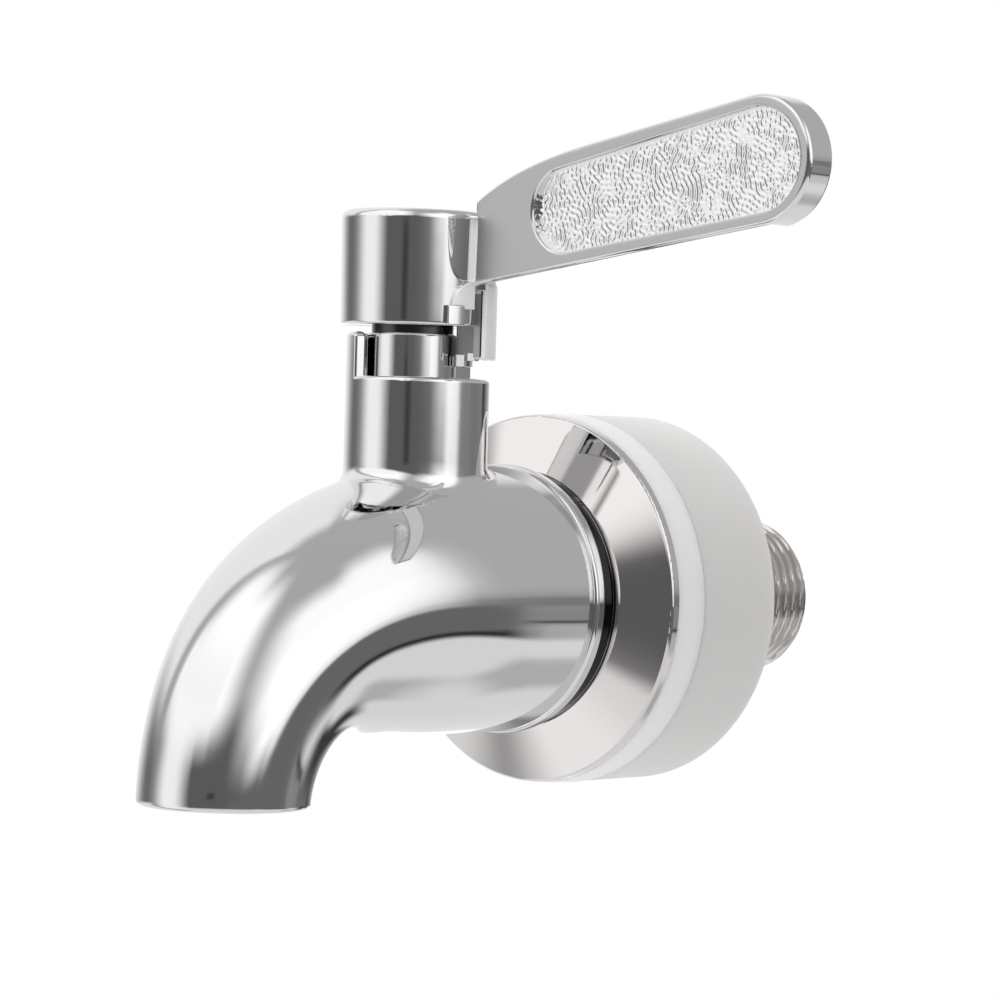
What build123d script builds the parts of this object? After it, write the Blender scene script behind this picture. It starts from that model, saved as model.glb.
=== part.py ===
from build123d import *
from math import acos, atan2, cos, degrees, radians, sin
import os

# Beverage dispenser spigot. The origin is on the shank's axis at the rear face of the inner washer,
# where the free thread starts. The shank runs along +Y, the spout towards -Y, the lever along +X.
# Every length is in millimetres and every angle in degrees.

# Shank and what it carries
thread_r = 8.3
thread_length = 19.6
thread_chamfer = 0.9
shank_r = 8.0
inlet_r = 5.5
flange_lip = 0.2
flange_thick = 1.5
flange_round = 0.4
spigot_r = 9.5
spigot_length = 4.0
washer_bore_r = 8.5
inner_washer_r = 19.2
inner_washer_thick = 12.3
inner_washer_round = 1.5
outer_washer_front_r = 19.1
outer_washer_rear_r = 19.3
outer_washer_thick = 4.0
washer_edge_round = 0.4

# Rosette
rosette_rim_r = 19.0
rosette_rim_thick = 1.0
rosette_rim_round = 0.35
rosette_cone_r = 13.3
rosette_cone_length = 2.1
rosette_neck_r = 13.0
rosette_neck_length = 2.1
rosette_clearance = 0.1

# Barrel, spout and collar of the body
barrel_r = 13.6
barrel_length = 13.1
barrel_edge_round = 0.4
spout_reach = 24.6
spout_drop = 19.5
spout_lead = 19.9
spout_fall = 6.97
spout_bend_r = 9.95
spout_throat_r = 8.33
mouth_r = 8.41
mouth_round = 0.5
mouth_bore_round = 0.4
passage_start_r = 6.6
passage_mouth_r = 6.4
passage_offset = 5.6
section_count = 13
barrel_section_count = 5
neck_from_rear = 13.4
collar_r = 7.2
collar_setback = 0.95
collar_height = 8.6
collar_round = 0.45
collar_blend = 1.2
stop_wall_height = 4.4
stop_wall_start = 85.0
stop_wall_end = 249.5
stop_wall_round = 0.5
stop_wall_end_round = 0.3

# Passages inside the body
socket_depth = 5.4
socket_clearance = 0.05
feed_r = 2.6
feed_drop = 6.8
port_r = 3.3
seat_z = -3.0
well_clearance = 0.05
gallery_r = 6.4
gallery_margin = 0.5

# Cartridge
cartridge_r = 5.0
cartridge_length = 18.6
chamber_r = 4.15
stem_bore_r = 3.2
disc_clearance = 0.05
disc_seal_thick = 1.4
fixed_disc_thick = 2.2
moving_disc_thick = 2.0
disc_hub_r = 1.2
disc_port_r = 3.2
disc_port_angle = 76.0
disc_wing_angle = 88.0
ear_angle = 22.0
ear_slack = 2.0
ear_rim_gap = 0.1
side_window_angle = 70.0
side_window_low = 0.3
side_window_height = 4.5
chamber_headroom = 1.6
pocket_height = 1.8

# Spindle
spindle_flange_thick = 2.0
spindle_top_r = 3.0
running_clearance = 0.05
stop_lug_angle = 60.0
stop_slack = 1.0
handle_travel = 90.0
dog_width = 1.2
dog_inner_r = 2.0
dog_outer_r = 3.6
dog_height = 0.8
dog_clearance = 0.05
dog_floor_gap = 0.1
square_flats = 4.2
square_clearance = 0.03
square_length = 6.5
square_end_gap = 0.3
shoulder_gap = 0.1
clip_groove_depth = 0.5
clip_thick = 0.6
clip_outer_r = 4.0
clip_gap_angle = 60.0
clip_clearance = 0.02
clip_lift = 0.1
clip_room_r = 4.3
clip_room_height = 1.2

# Seals: round section, in grooves a little wider than the ring
seal_squeeze_gap = 0.02
groove_slack = 0.5
spindle_groove_floor_r = 2.3
lower_seal_height = 9.6
upper_seal_height = 12.6
well_groove_floor_r = 4.1
housing_seal_height = 13.2
bonnet_seal_depth = 2.7
shank_groove_floor_r = 8.4
shank_seal_setback = 2.0

# Bonnet and glide ring
bonnet_r = 4.45
bonnet_shoulder_drop = 0.3
bonnet_rise = 4.4
bonnet_edge_round = 0.3
glide_ring_r = 4.1
glide_ring_thick = 0.7

# Lever
hub_bottom_r = 7.2
hub_top_r = 7.4
hub_height = 11.45
hub_bottom_round = 0.35
hub_top_round = 0.9
arm_slope = 10.1
arm_base_height = 7.9
arm_face_offset = 0.5
arm_thick = 3.7
arm_inset = 3.0
arm_root_s = 8.1
arm_root_up = 3.1
arm_root_angle = 24.0
arm_root_pull = 3.5
arm_root_step = 1.95
arm_foot_down = 5.0
arm_shoulder_s = 23.0
arm_shoulder_up = 5.78
arm_shoulder_pull = 7.5
arm_root_round = 0.55
arm_tip_s = 43.3
arm_tip_r = 6.16
arm_edge_round = 0.5
recess_depth = 0.9
recess_root_s = 19.4
recess_root_r = 4.08
recess_tip_r = 4.9
recess_edge_round = 0.35
lug_reach = 7.85
lug_width = 2.0
lug_angle = -13.5
lug_height = 2.05
lug_round = 0.3
gusset_reach = 7.7
gusset_start = -20.0
gusset_end = 30.0
gusset_r = 2.6
gusset_angle = 4.0
gusset_lift = 1.9
skirt_inner_r = 7.1
skirt_outer_r = 8.3
skirt_start = 12.5
skirt_end = 52.0
skirt_height = 4.4
skirt_foot_lift = 1.95
skirt_round = 0.45
web_inner_r = 4.95
peg_outer_r = 6.1
peg_lift = 1.15
peg_round = 0.35

# Screw, washer and cap on the lever
screw_r = 1.5
screw_length = 7.6
screw_clearance = 0.03
screw_hole_r = 1.7
screw_head_r = 2.75
screw_head_height = 1.3
screw_socket_r = 1.2
screw_socket_depth = 0.8
tapped_depth = 6.0
hub_floor = 1.4
washer_r = 2.9
washer_thick = 0.5
washer_gap_angle = 8.0
counterbore_r = 3.3
counterbore_depth = 2.4
cap_r = 5.4
cap_depth = 1.2
cap_rise = 0.2
cap_clearance = 0.03

# Places that follow from the sizes above
rosette_rear_y = -(inner_washer_thick + outer_washer_thick)
rosette_front_y = rosette_rear_y - rosette_rim_thick - rosette_cone_length - rosette_neck_length
body_rear_y = rosette_front_y - flange_thick
flange_r = barrel_r + flange_lip
bend_y = body_rear_y - barrel_length
neck_y = body_rear_y - neck_from_rear
socket_end_y = body_rear_y - socket_depth
ledge_z = barrel_r + collar_height
well_r = cartridge_r + well_clearance
housing_top_z = seat_z + cartridge_length
fixed_disc_z = seat_z + disc_seal_thick
moving_disc_z = fixed_disc_z + fixed_disc_thick
spindle_foot_z = moving_disc_z + moving_disc_thick
flange_top_z = spindle_foot_z + spindle_flange_thick
chamber_top_z = flange_top_z + chamber_headroom
pocket_top_z = chamber_top_z + pocket_height
side_window_z = moving_disc_z + side_window_low
side_window_top_z = side_window_z + side_window_height
disc_r = chamber_r - disc_clearance
stem_r = stem_bore_r - running_clearance
bonnet_top_z = ledge_z + bonnet_rise
hub_z = bonnet_top_z + glide_ring_thick
hub_top_z = hub_z + hub_height
square_top_z = hub_z + square_length
hub_floor_z = square_top_z + square_end_gap
washer_z = hub_floor_z + hub_floor
screw_head_z = washer_z + washer_thick
cap_z = hub_top_z - cap_depth
arm_base_z = hub_z + arm_base_height
skirt_foot_z = ledge_z + skirt_foot_lift
peg_foot_z = ledge_z + peg_lift

# Local frames: the neck stands on the barrel, and the shank's pieces are turned about its own axis
neck = Pos(0, neck_y, 0)
collar_place = Pos(0, neck_y + collar_setback, 0)
along_shank = Plane(origin=(0, 0, 0), x_dir=(1, 0, 0), z_dir=(0, 1, 0)).location


def turned(points, radii=None):
    # Solid of revolution about the local Z axis from (radius, height) points
    corner_radii = radii or [0] * len(points)
    outline = FilletPolyline(*points, radius=corner_radii, close=True)
    return revolve(Plane.XZ * make_face(outline), Axis.Z)


def rod(radius, low, high):
    return Pos(0, 0, low) * Cylinder(radius, high - low, align=(Align.CENTER, Align.CENTER, Align.MIN))


def tube(inner_r, outer_r, low, high):
    return rod(outer_r, low, high) - rod(inner_r, low, high)


def sector(inner_r, outer_r, start, end, low, high):
    # Part of a tube between two angles, measured from +X towards +Y
    outer = CenterArc((0, 0), outer_r, start, end - start)
    inner = CenterArc((0, 0), inner_r, start, end - start)
    outline = make_face([outer, Line(outer @ 1, inner @ 1), inner, Line(inner @ 0, outer @ 0)])
    return Pos(0, 0, low) * extrude(outline, high - low)


def ring_seal(groove_floor_r, bore_r, height):
    # A round-section ring that fills its groove up to the bore around it
    section_r = (bore_r - groove_floor_r) / 2 - seal_squeeze_gap
    return Pos(0, 0, height) * Torus((bore_r + groove_floor_r) / 2, section_r)


def seal_groove(groove_floor_r, bore_r, height):
    width = bore_r - groove_floor_r + groove_slack
    return tube(groove_floor_r, bore_r, height - width / 2, height + width / 2)


def bezier(controls, t):
    # Point or number on a cubic curve with four controls
    first, second, third, last = controls
    s = 1 - t
    return first * s**3 + second * (3 * s * s * t) + third * (3 * s * t * t) + last * t**3


def bezier_slope(controls, t):
    first, second, third, last = controls
    s = 1 - t
    return (second - first) * (3 * s * s) + (third - second) * (6 * s * t) + (last - third) * (3 * t * t)


def spout_controls():
    start = Vector(0, bend_y, 0)
    mouth = Vector(0, bend_y - spout_reach, -spout_drop)
    return [start, start - Vector(0, spout_lead, 0), mouth + Vector(0, 0, spout_fall), mouth]


def spout_sections(radii, first_t):
    # Round sections square to the spout's centre line, from first_t to the mouth
    controls = spout_controls()
    sections = []
    for step in range(section_count):
        share = step / (section_count - 1)
        t = first_t + (1 - first_t) * share
        place = Plane(origin=bezier(controls, t), x_dir=(1, 0, 0), z_dir=bezier_slope(controls, t))
        sections.append(place * Circle(bezier(radii, share)))
    return sections


def passage_start():
    # Share of the centre line at which the passage leaves the valve well, found by halving
    controls = spout_controls()
    target = neck_y - passage_offset
    low, high = 0.0, 1.0
    while high - low > 1e-6:
        middle = (low + high) / 2
        if bezier(controls, middle).Y > target:
            low = middle
        else:
            high = middle
    return high


def stop_wall():
    # The part of the collar that stands above the ledge on the left and behind
    high = ledge_z + stop_wall_height
    reach = collar_r + collar_setback
    wedge = sector(well_r, reach, stop_wall_start, stop_wall_end, ledge_z - stop_wall_height, high)
    wall = neck * wedge & collar_place * rod(collar_r, 0, high)
    wall = fillet(wall.edges().filter_by(Axis.Z), stop_wall_end_round)
    top = wall.faces().sort_by(Axis.Z)[-1]
    return fillet(top.edges(), stop_wall_round)


def barrel_sections():
    # Equal sections of the straight barrel, from its rear to just behind the bend
    sections = []
    for step in range(barrel_section_count):
        y = body_rear_y - barrel_length * step / barrel_section_count
        place = Plane(origin=(0, y, 0), x_dir=(1, 0, 0), z_dir=(0, -1, 0))
        sections.append(place * Circle(barrel_r))
    return sections


def body_outside():
    # Barrel and spout are one smooth skin, and the collar runs into it with a round blend
    radii = [barrel_r, spout_bend_r, spout_throat_r, mouth_r]
    shape = loft(barrel_sections() + spout_sections(radii, 0))
    rear = shape.faces().sort_by(Axis.Y)[-1]
    shape = fillet(rear.edges(), barrel_edge_round)
    mouth = shape.faces().sort_by(Axis.Z)[0]
    collar = rod(collar_r, 0, ledge_z)
    rim = collar.edges().filter_by(GeomType.CIRCLE).sort_by(Axis.Z)[-1]
    shape = fillet(mouth.edges(), mouth_round) + collar_place * fillet(rim, collar_round)
    column = shape.faces().filter_by(GeomType.CYLINDER).sort_by(Axis.Z)[-1]
    foot = [edge for edge in column.edges() if edge.bounding_box().max.Z < ledge_z - collar_blend]
    return fillet(foot, collar_blend) + stop_wall()


def tap_body():
    socket = along_shank * rod(spigot_r + socket_clearance, socket_end_y, body_rear_y)
    feed = Pos(0, 0, -feed_drop) * (along_shank * rod(feed_r, neck_y - port_r, socket_end_y))
    port = rod(port_r, -feed_drop, seat_z)
    well = rod(well_r, seat_z, ledge_z)
    gallery = rod(gallery_r, side_window_z - gallery_margin, side_window_top_z + gallery_margin)
    radii = [passage_start_r, passage_start_r, passage_mouth_r, passage_mouth_r]
    passage = loft(spout_sections(radii, passage_start()))
    body = body_outside() - socket - feed - neck * port - neck * well - neck * gallery - passage
    mouth = body.faces().sort_by(Axis.Z)[0]
    bore_edge = mouth.edges().sort_by(SortBy.LENGTH)[0]
    return chamfer(bore_edge, mouth_bore_round)


def threaded_shank():
    front_y = body_rear_y - spigot_length
    stages = [
        (inlet_r, front_y),
        (spigot_r, front_y),
        (spigot_r, body_rear_y),
        (flange_r, body_rear_y),
        (flange_r, rosette_front_y),
        (shank_r, rosette_front_y),
        (shank_r, 0),
        (thread_r, 0),
        (thread_r, thread_length - thread_chamfer),
        (thread_r - thread_chamfer, thread_length),
        (inlet_r, thread_length),
    ]
    rounds = [0, 0, 0, flange_round, flange_round, 0, 0, 0, 0, 0, 0]
    groove = seal_groove(shank_groove_floor_r, spigot_r, body_rear_y - shank_seal_setback)
    return along_shank * (turned(stages, rounds) - groove)


def shank_seal():
    ring = ring_seal(shank_groove_floor_r, spigot_r + socket_clearance, body_rear_y - shank_seal_setback)
    return along_shank * ring


def rosette():
    bore_r = shank_r + rosette_clearance
    cone_front_y = rosette_front_y + rosette_neck_length
    rim_front_y = rosette_rear_y - rosette_rim_thick
    profile = [
        (bore_r, rosette_front_y),
        (rosette_neck_r, rosette_front_y),
        (rosette_neck_r, cone_front_y),
        (rosette_cone_r, cone_front_y),
        (rosette_rim_r, rim_front_y),
        (rosette_rim_r, rosette_rear_y),
        (bore_r, rosette_rear_y),
    ]
    rounds = [0, 0, 0, 0, rosette_rim_round, 0, 0]
    return along_shank * turned(profile, rounds)


def outer_washer():
    rear_y = -inner_washer_thick
    profile = [
        (washer_bore_r, rosette_rear_y),
        (outer_washer_front_r, rosette_rear_y),
        (outer_washer_rear_r, rear_y),
        (washer_bore_r, rear_y),
    ]
    return along_shank * turned(profile, [0, washer_edge_round, washer_edge_round, 0])


def inner_washer():
    front_y = -inner_washer_thick
    profile = [
        (washer_bore_r, front_y),
        (inner_washer_r, front_y),
        (inner_washer_r, 0),
        (washer_bore_r, 0),
    ]
    return along_shank * turned(profile, [0, washer_edge_round, inner_washer_round, 0])


def cartridge_housing():
    shell = rod(cartridge_r, seat_z, housing_top_z)
    shell -= rod(chamber_r, seat_z, chamber_top_z)
    shell -= rod(stem_bore_r, seat_z, housing_top_z)
    lug_half = stop_lug_angle / 2 + stop_slack
    shell -= sector(disc_hub_r, chamber_r, -lug_half - handle_travel, lug_half, chamber_top_z, pocket_top_z)
    shell -= seal_groove(well_groove_floor_r, cartridge_r, seat_z + housing_seal_height)
    notch_half = (ear_angle + ear_slack) / 2
    window_half = side_window_angle / 2
    for side in (0, 180):
        across = side + 90
        window = (side - window_half, side + window_half, side_window_z, side_window_top_z)
        shell -= sector(stem_bore_r, well_r, *window)
        notch = (across - notch_half, across + notch_half, seat_z, moving_disc_z)
        shell -= sector(stem_bore_r, well_r, *notch)
    return neck * shell


def disc_seal():
    return neck * tube(port_r, disc_r, seat_z, fixed_disc_z)


def fixed_disc():
    disc = rod(disc_r, fixed_disc_z, moving_disc_z)
    port_half = disc_port_angle / 2
    ear_half = ear_angle / 2
    ear_r = cartridge_r - ear_rim_gap
    heights = (fixed_disc_z, moving_disc_z)
    for side in (0, 180):
        across = side + 90
        disc -= sector(disc_hub_r, disc_port_r, side - port_half, side + port_half, *heights)
        disc += sector(disc_port_r, ear_r, across - ear_half, across + ear_half, *heights)
    return neck * disc


def wings(low, high):
    # Bow-tie plate that covers the fixed disc's two ports while the tap is shut
    plate = rod(disc_r, low, high)
    gap_half = (180 - disc_wing_angle) / 2
    for side in (90, 270):
        plate -= sector(disc_hub_r, chamber_r, side - gap_half, side + gap_half, low, high)
    return plate


def dogs(width, height):
    # The two drive dogs under the spindle's foot, or their slots in the moving disc
    length = dog_outer_r - dog_inner_r + 2 * (width - dog_width)
    shape = Part()
    for side in (-1, 1):
        centre = Pos(side * (dog_outer_r + dog_inner_r) / 2, 0, spindle_foot_z)
        shape += centre * Box(length, width, height, align=(Align.CENTER, Align.CENTER, Align.MAX))
    return shape


def moving_disc():
    slots = dogs(dog_width + 2 * dog_clearance, dog_height + dog_floor_gap)
    return neck * (wings(moving_disc_z, spindle_foot_z) - slots)


def valve_spindle():
    lug_half = stop_lug_angle / 2
    spindle = wings(spindle_foot_z, flange_top_z) + dogs(dog_width, dog_height)
    spindle += rod(stem_r, flange_top_z, housing_top_z)
    lug_top_z = pocket_top_z - running_clearance
    spindle += sector(disc_hub_r, disc_r, -lug_half, lug_half, flange_top_z, lug_top_z)
    spindle += rod(spindle_top_r, housing_top_z, hub_z - shoulder_gap)
    square_length_all = square_top_z - hub_z + shoulder_gap
    square = extrude(Rectangle(square_flats, square_flats), square_length_all)
    spindle += Pos(0, 0, hub_z - shoulder_gap) * square
    spindle -= rod(screw_r, square_top_z - tapped_depth, square_top_z)
    clip_floor_r = spindle_top_r - clip_groove_depth
    groove_z = housing_top_z + clip_lift - clip_clearance
    groove_top_z = groove_z + clip_thick + 2 * clip_clearance
    spindle -= tube(clip_floor_r, stem_bore_r, groove_z, groove_top_z)
    for height in (lower_seal_height, upper_seal_height):
        spindle -= seal_groove(spindle_groove_floor_r, stem_bore_r, seat_z + height + groove_slack)
    return neck * spindle


def lower_spindle_seal():
    height = seat_z + lower_seal_height + groove_slack
    return neck * ring_seal(spindle_groove_floor_r, stem_bore_r, height)


def upper_spindle_seal():
    height = seat_z + upper_seal_height + groove_slack
    return neck * ring_seal(spindle_groove_floor_r, stem_bore_r, height)


def spindle_clip():
    inner_r = spindle_top_r - clip_groove_depth + clip_clearance
    clip_z = housing_top_z + clip_lift
    half_gap = clip_gap_angle / 2
    clip = sector(inner_r, clip_outer_r, half_gap, 360 - half_gap, clip_z, clip_z + clip_thick)
    return neck * clip


def housing_seal():
    return neck * ring_seal(well_groove_floor_r, well_r, seat_z + housing_seal_height)


def valve_bonnet():
    bonnet = rod(bonnet_r, housing_top_z, bonnet_top_z)
    bonnet = fillet(bonnet.edges().filter_by(GeomType.CIRCLE).sort_by(Axis.Z)[-1], bonnet_edge_round)
    bonnet += rod(cartridge_r, housing_top_z, ledge_z - bonnet_shoulder_drop)
    bonnet -= rod(clip_room_r, housing_top_z, housing_top_z + clip_room_height)
    bonnet -= rod(spindle_top_r + running_clearance, housing_top_z, bonnet_top_z)
    return neck * (bonnet - seal_groove(well_groove_floor_r, cartridge_r, ledge_z - bonnet_seal_depth))


def bonnet_seal():
    return neck * ring_seal(well_groove_floor_r, well_r, ledge_z - bonnet_seal_depth)


def glide_ring():
    return neck * tube(spindle_top_r + running_clearance, glide_ring_r, bonnet_top_z, hub_z)


def tip_touch(start, side):
    # Direction from the tip's centre to the point where a straight edge from start touches the round tip
    away = start - Vector(arm_tip_s, 0)
    return degrees(atan2(away.Y, away.X) - side * acos(arm_tip_r / away.length))


def arm_outline():
    # Upright face of the paddle: an S curve off the hub, then a gentle widening to the round tip
    lean = Vector(sin(radians(arm_slope)), cos(radians(arm_slope)))
    root = Vector(arm_root_s, arm_root_up)
    shoulder = Vector(arm_shoulder_s, arm_shoulder_up)
    foot = Vector(arm_inset, -arm_foot_down)
    high = tip_touch(shoulder, 1)
    low = tip_touch(foot, -1) - 360
    tip = CenterArc((arm_tip_s, 0), arm_tip_r, high, low - high)
    upper = Line(shoulder, tip @ 0)
    first = root + Vector(arm_root_pull, 0).rotate(Axis.Z, arm_root_angle)
    flare = Bezier(root, first, shoulder - (upper % 0) * arm_shoulder_pull, shoulder)
    step = root - lean * arm_root_step
    inner = Vector(arm_inset, step.Y + (step.X - arm_inset) * lean.X / lean.Y)
    edges = [flare, upper, tip, Line(tip @ 1, foot), Line(foot, inner), Line(inner, step), Line(step, root)]
    return make_face(edges)


def recess_outline():
    # Grip panel: two round ends of different size joined by their common tangents
    ends = Pos(recess_root_s, 0) * Circle(recess_root_r) + Pos(arm_tip_s, 0) * Circle(recess_tip_r)
    return make_hull(ends.edges())


def arm():
    # The face looks along -Y and the paddle's thickness runs to +Y
    face = Plane(origin=(0, arm_face_offset, arm_base_z), x_dir=(1, 0, 0), z_dir=(0, -1, 0))
    place = face.location * Rot(0, 0, arm_slope)
    blade = place * extrude(arm_outline(), -arm_thick)
    rims = blade.edges().filter_by(Axis.Y, reverse=True).filter_by(lambda edge: edge.center().X > arm_inset)
    blade = fillet(rims, arm_edge_round)
    blade -= place * extrude(recess_outline(), -recess_depth)
    recess_rim = blade.faces().sort_by(Axis.Y)[0].inner_wires()[0].edges()
    return blade.fillet(recess_edge_round, recess_rim)


def joins_arm(edge):
    # True for the edges where the arm runs out of the hub's side
    middle = edge.center()
    height = hub_bottom_round < middle.Z - hub_z < hub_height - hub_top_round
    return height and arm_inset < middle.X < hub_top_r and edge.geom_type != GeomType.CIRCLE


def lug():
    # Square block on the hub's foot, turned to face out beside the skirt
    depth = lug_reach - web_inner_r
    low = (Align.MAX, Align.CENTER, Align.MIN)
    block = Pos(lug_reach, 0, hub_z) * Box(depth, lug_width, lug_height, align=low)
    outer = block.faces().sort_by(Axis.X)[-1]
    return Rot(0, 0, lug_angle) * fillet(outer.edges(), lug_round)


def gusset():
    # Quarter-round web that runs from the lug up to the underside of the arm
    band = sector(web_inner_r, gusset_reach, gusset_start, gusset_end, hub_z + gusset_lift, arm_base_z)
    round_end = Rot(0, 90, 0) * rod(gusset_r, web_inner_r, skirt_outer_r)
    return band & Rot(0, 0, gusset_angle) * Pos(0, 0, hub_z + gusset_lift) * round_end


def stop_tab():
    # The skirt hangs outside the collar and the peg inside it, where they sweep the collar's window
    skirt = sector(skirt_inner_r, skirt_outer_r, skirt_start, skirt_end, skirt_foot_z, hub_z + skirt_height)
    foot = skirt.edges().group_by(Axis.Z)[0].sort_by(SortBy.LENGTH)[-1]
    skirt = fillet(foot, skirt_round)
    web = sector(web_inner_r, skirt_outer_r - skirt_round, skirt_start, skirt_end, skirt_foot_z, hub_z)
    peg = sector(web_inner_r, peg_outer_r, skirt_start, skirt_end, peg_foot_z, hub_z)
    peg = fillet(peg.faces().sort_by(Axis.Z)[0].edges(), peg_round)
    return skirt + web + peg + lug() + gusset()


def lever_handle():
    profile = [(0, hub_z), (hub_bottom_r, hub_z), (hub_top_r, hub_top_z), (0, hub_top_z)]
    lever = Rot(0, 0, 180) * turned(profile, [0, hub_bottom_round, hub_top_round, 0]) + arm()
    root = [edge for edge in lever.edges() if joins_arm(edge)]
    lever = fillet(root, arm_root_round)
    lever += stop_tab()
    socket_side = square_flats + 2 * square_clearance
    lever -= Pos(0, 0, hub_z) * extrude(Rectangle(socket_side, socket_side), hub_floor_z - hub_z)
    lever -= rod(screw_hole_r, hub_floor_z, washer_z)
    lever -= rod(counterbore_r, washer_z, washer_z + counterbore_depth)
    lever -= rod(cap_r, cap_z, hub_top_z)
    return neck * lever


def handle_screw():
    screw = rod(screw_r - screw_clearance, screw_head_z - screw_length, screw_head_z)
    screw += rod(screw_head_r, screw_head_z, screw_head_z + screw_head_height)
    socket = extrude(RegularPolygon(screw_socket_r, 6), -screw_socket_depth)
    return neck * (screw - Pos(0, 0, screw_head_z + screw_head_height) * socket)


def lock_washer():
    half_gap = washer_gap_angle / 2
    return neck * sector(screw_hole_r, washer_r, half_gap, 360 - half_gap, washer_z, screw_head_z)


def screw_cap():
    radius = cap_r - cap_clearance
    crown_r = (radius**2 + cap_rise**2) / (2 * cap_rise)
    crown = Pos(0, 0, hub_top_z + cap_rise - crown_r) * Sphere(crown_r)
    return neck * (rod(radius, cap_z, hub_top_z + cap_rise) & crown)


pieces = [
    tap_body,
    threaded_shank,
    shank_seal,
    rosette,
    outer_washer,
    inner_washer,
    cartridge_housing,
    housing_seal,
    disc_seal,
    fixed_disc,
    moving_disc,
    valve_spindle,
    lower_spindle_seal,
    upper_spindle_seal,
    spindle_clip,
    valve_bonnet,
    bonnet_seal,
    glide_ring,
    lever_handle,
    lock_washer,
    handle_screw,
    screw_cap,
]

os.makedirs("parts", exist_ok=True)
for piece in pieces:
    export_step(piece(), f"parts/{piece.__name__}.step")
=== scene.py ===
from math import atan2, cos, exp, pi, radians, sin, sqrt

import bpy
import numpy
from mathutils import Matrix, Vector


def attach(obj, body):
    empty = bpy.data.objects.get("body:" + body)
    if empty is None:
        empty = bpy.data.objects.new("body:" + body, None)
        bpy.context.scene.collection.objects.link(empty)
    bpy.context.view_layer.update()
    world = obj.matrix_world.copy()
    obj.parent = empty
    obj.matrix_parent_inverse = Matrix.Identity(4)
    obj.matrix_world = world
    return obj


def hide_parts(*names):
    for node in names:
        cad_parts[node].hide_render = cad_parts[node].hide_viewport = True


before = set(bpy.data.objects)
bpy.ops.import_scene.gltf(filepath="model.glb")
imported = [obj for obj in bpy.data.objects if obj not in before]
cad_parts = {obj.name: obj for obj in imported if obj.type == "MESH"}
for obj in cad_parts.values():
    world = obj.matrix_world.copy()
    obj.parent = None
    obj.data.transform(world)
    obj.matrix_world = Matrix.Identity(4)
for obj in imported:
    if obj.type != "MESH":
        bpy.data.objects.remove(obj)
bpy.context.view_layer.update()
mm = 0.001
print("frame loaded")


# Camera: the photo's own view, a long lens almost level with the tap
cameraSetup = {
    "azimuth": 41.95,
    "elevation": 0.70,
    "roll": -1.73,
    "distance": 398.9 * mm,
    "lens": 138.3,
    "lookAt": Vector((0, -16.7, 0)) * mm,
    "shiftRight": 3.63 * mm,
    "shiftUp": -10.17 * mm,
    "clip": (0.01, 20.0),
}


def addCamera(setup):
    az = radians(setup["azimuth"])
    el = radians(setup["elevation"])
    roll = radians(-setup["roll"])
    back = Vector((sin(az) * cos(el), -cos(az) * cos(el), sin(el)))
    right = Vector((cos(az), sin(az), 0))
    up = back.cross(right)
    turnedRight = right * cos(roll) + up * sin(roll)
    turnedUp = up * cos(roll) - right * sin(roll)
    place = setup["lookAt"] + back * setup["distance"]
    place -= turnedRight * setup["shiftRight"] + turnedUp * setup["shiftUp"]
    bpy.ops.object.camera_add(location=place)
    camera = bpy.context.object
    camera.name = "productCamera"
    axes = Matrix((turnedRight, turnedUp, back)).transposed()
    camera.rotation_euler = axes.to_euler()
    camera.data.lens = setup["lens"]
    camera.data.clip_start, camera.data.clip_end = setup["clip"]
    bpy.context.scene.camera = camera


addCamera(cameraSetup)
print("camera placed")


def linear(hexColour):
    # sRGB hex to the linear colour that the shaders use
    parts = [int(hexColour[i:i + 2], 16) / 255 for i in (1, 3, 5)]
    return tuple(p / 12.92 if p <= 0.04045 else ((p + 0.055) / 1.055) ** 2.4 for p in parts) + (1.0,)


def addNode(tree, kind, settings=None, inputs=None):
    # One node with its settings; an input is a value or another node's socket
    node = tree.nodes.new(kind)
    for name, value in (settings or {}).items():
        setattr(node, name, value)
    for name, value in (inputs or {}).items():
        if isinstance(value, bpy.types.NodeSocket):
            tree.links.new(value, node.inputs[name])
        else:
            node.inputs[name].default_value = value
    return node


def startMaterial(name):
    material = bpy.data.materials.new(name)
    material.use_nodes = True
    return material, material.node_tree, material.node_tree.nodes["Principled BSDF"]


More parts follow.
